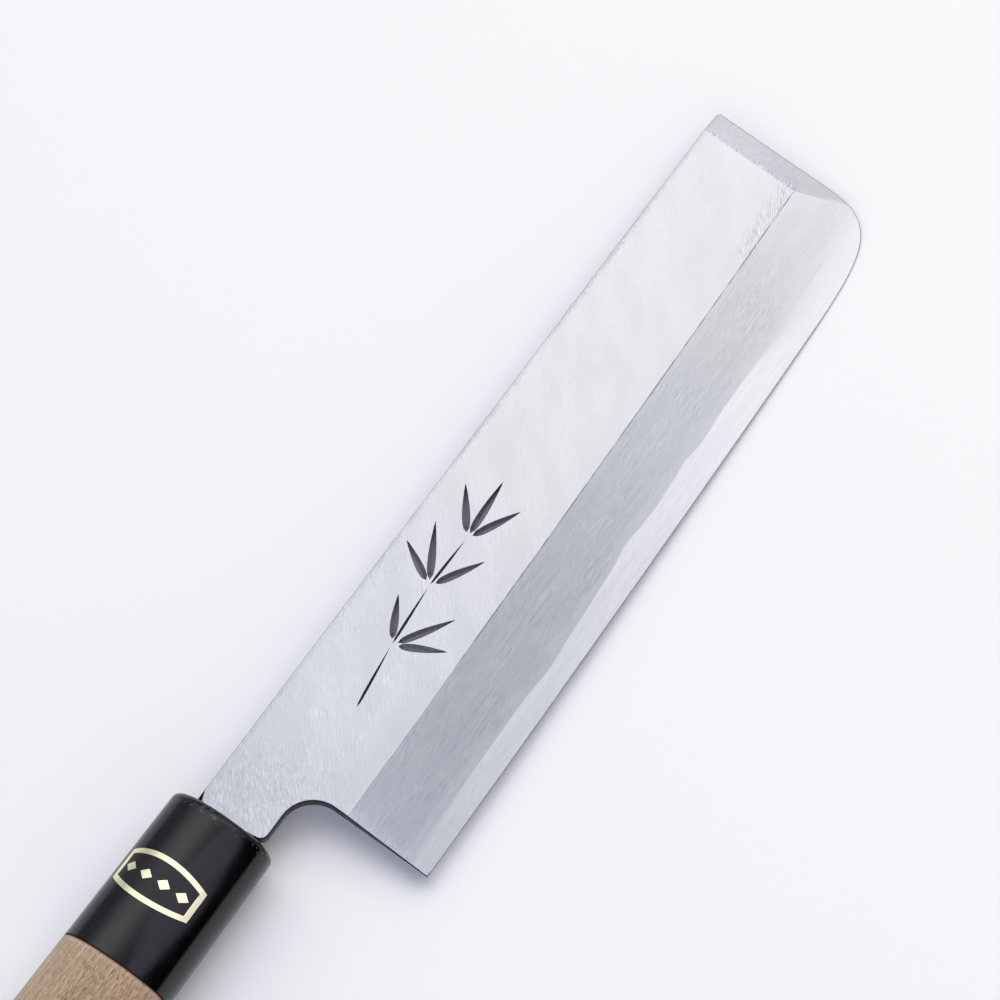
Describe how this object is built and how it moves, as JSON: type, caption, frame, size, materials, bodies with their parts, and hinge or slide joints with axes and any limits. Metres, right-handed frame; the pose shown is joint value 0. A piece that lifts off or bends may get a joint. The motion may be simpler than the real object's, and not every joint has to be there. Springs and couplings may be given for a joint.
{
  "type": "usuba knife",
  "caption": "Single-bevel vegetable knife with a square tip, laminated blade, hollow-ground back, horn ferrule and ridged wooden handle.",
  "frame": {"origin": "middle of the knife's box in X and Y, on the lowest plane of the handle, which is the surface it lies on", "axes": "+X along the handle's axis towards the tip, +Y towards the spine, +Z out of the bevelled front face"},
  "size_m": [0.3176, 0.0524, 0.0225],
  "materials": {
    "soft_iron": "fine brushed flat and misty stone-ground bevel",
    "edge_steel": "polished",
    "horn": "polished black buffalo horn with faint brown flecks",
    "magnolia_wood": "unvarnished, fine straight grain with short pores",
    "bedding_resin": "dark resin",
    "label_foil": "foil label with a gold frame and a black field"
  },
  "bodies": {
    "root": {"blade_iron": "soft_iron", "blade_edge_steel": "edge_steel", "horn_ferrule": "horn", "handle_grip": "magnolia_wood", "tang_bedding": "bedding_resin", "ferrule_label": "label_foil"}
  },
  "joints": []
}
